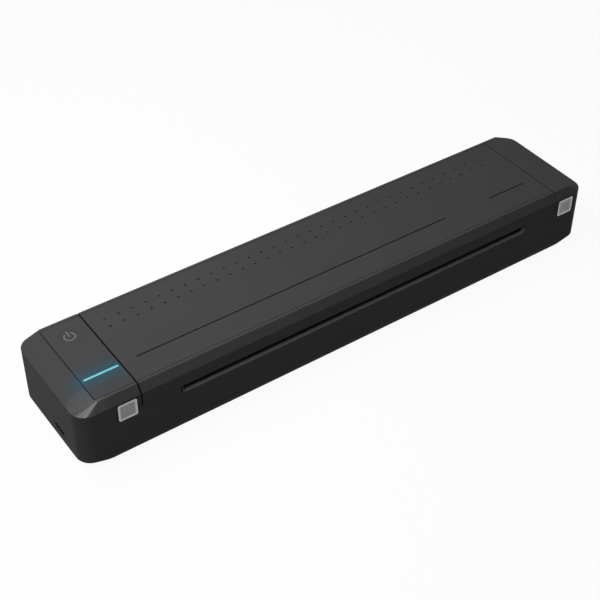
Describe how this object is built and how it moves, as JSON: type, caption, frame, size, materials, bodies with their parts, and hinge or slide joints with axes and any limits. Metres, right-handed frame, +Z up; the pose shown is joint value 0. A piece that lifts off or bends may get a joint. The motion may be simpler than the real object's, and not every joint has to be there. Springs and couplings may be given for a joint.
{
  "type": "portable thermal printer",
  "caption": "Long low portable sheet printer with a hinged cover, front paper slot, square release buttons, power key and light bar at the left end.",
  "frame": {"origin": "under the middle of the case, on the surface it stands on", "axes": "+X along the case to the right seen from the front, -Y the front with the paper slot, +Z up"},
  "size_m": [0.312, 0.064, 0.0383],
  "materials": {
    "case_black": "fine moulded texture",
    "top_black": "fine moulded texture",
    "inner_black": "plain moulded",
    "button_metal": "satin grey",
    "latch_grey": "moulded acetal",
    "light_guide": "frosted, lit cyan",
    "circuit_board": "solder mask",
    "chip_black": "moulded epoxy",
    "steel": "bright zinc plated",
    "aluminium": "extruded",
    "ceramic": "glazed strip",
    "rubber": "ground",
    "gear_white": "moulded acetal",
    "brass": "turned",
    "ribbon": "inked film",
    "battery_wrap": "shrink wrap"
  },
  "bodies": {
    "base": {"base_housing": "case_black", "left_end_cap": "top_black", "control_panel": "top_black", "right_end_cap": "top_black", "led_light_guide": "light_guide", "panel_board": "circuit_board", "power_switch": "steel", "main_board": "circuit_board", "board_chips": "chip_black", "usb_receptacle": "steel", "reset_switch": "chip_black", "left_side_plate": "steel", "right_side_plate": "steel", "platen_bushes": "gear_white", "lower_guide": "inner_black", "upper_guide": "inner_black", "front_guide": "inner_black", "paper_sensor": "chip_black", "battery_pack": "battery_wrap", "driver_board": "circuit_board", "motor_body": "steel", "hinge_pins": "steel", "idler_axle": "steel", "rubber_feet": "rubber", "case_screws": "steel", "frame_screws": "steel", "motor_screws": "steel", "board_screws": "steel", "left_button_spring": "steel", "right_button_spring": "steel", "ribbon_web": "ribbon"},
    "cover": {"cover_shell": "top_black", "cover_trim_plate": "top_black", "head_bracket": "steel", "bracket_screws": "steel", "head_springs": "steel"},
    "head": {"head_bar": "aluminium", "head_ceramic": "ceramic", "head_screws": "steel"},
    "platen": {"platen_shaft": "steel", "platen_rubber": "rubber", "platen_gear": "gear_white"},
    "motor_rotor": {"motor_shaft": "steel", "motor_pinion": "brass"},
    "idler": {"idler_gear": "gear_white"},
    "takeup_spool": {"takeup_core": "latch_grey", "takeup_ribbon": "ribbon", "takeup_gear": "gear_white"},
    "supply_spool": {"supply_core": "latch_grey", "supply_ribbon": "ribbon"},
    "left_release": {"left_button": "button_metal", "left_latch": "latch_grey"},
    "right_release": {"right_button": "button_metal", "right_latch": "latch_grey"},
    "power_key": {"power_key": "top_black"}
  },
  "joints": [
    {"name": "cover_hinge", "type": "hinge", "parent": "base", "child": "cover", "pos_m": [0.0054, 0.0296, 0.027], "axis": [-1, 0, 0], "range_deg": [0, 92]},
    {"name": "head_float", "type": "slide", "parent": "cover", "child": "head", "axis": [0, 0, 1], "range_m": [0, 0.0008], "stiffness_N_per_m": 3000, "springref_m": -0.001, "deforming": ["head_springs"]},
    {"name": "platen_spin", "type": "hinge", "parent": "base", "child": "platen", "pos_m": [0.0054, -0.013, 0.0184], "axis": [1, 0, 0], "continuous": true},
    {"name": "takeup_spin", "type": "hinge", "parent": "base", "child": "takeup_spool", "pos_m": [0.0054, -0.02295, 0.03015], "axis": [1, 0, 0], "continuous": true},
    {"name": "idler_spin", "type": "hinge", "parent": "base", "child": "idler", "pos_m": [-0.1175, 0.00059, 0.01335], "axis": [1, 0, 0], "continuous": true},
    {"name": "motor_spin", "type": "hinge", "parent": "base", "child": "motor_rotor", "pos_m": [-0.1203, 0.01321, 0.0119], "axis": [1, 0, 0], "continuous": true},
    {"name": "supply_spin", "type": "hinge", "parent": "base", "child": "supply_spool", "pos_m": [0.0054, 0.014, 0.0292], "axis": [1, 0, 0], "continuous": true},
    {"name": "left_release_slide", "type": "slide", "parent": "base", "child": "left_release", "axis": [0, 1, 0], "range_m": [0, 0.002], "stiffness_N_per_m": 400, "springref_m": -0.002, "deforming": ["left_button_spring"]},
    {"name": "right_release_slide", "type": "slide", "parent": "base", "child": "right_release", "axis": [0, 1, 0], "range_m": [0, 0.002], "stiffness_N_per_m": 400, "springref_m": -0.002, "deforming": ["right_button_spring"]},
    {"name": "power_key_press", "type": "slide", "parent": "base", "child": "power_key", "axis": [0, 0, -1], "range_m": [0, 0.0004], "stiffness_N_per_m": 1500, "springref_m": -0.0002}
  ],
  "couplings": [
    {"joint": "takeup_spin", "follows": "platen_spin", "ratio": -2.4},
    {"joint": "idler_spin", "follows": "platen_spin", "ratio": -3},
    {"joint": "motor_spin", "follows": "platen_spin", "ratio": 7.5}
  ]
}
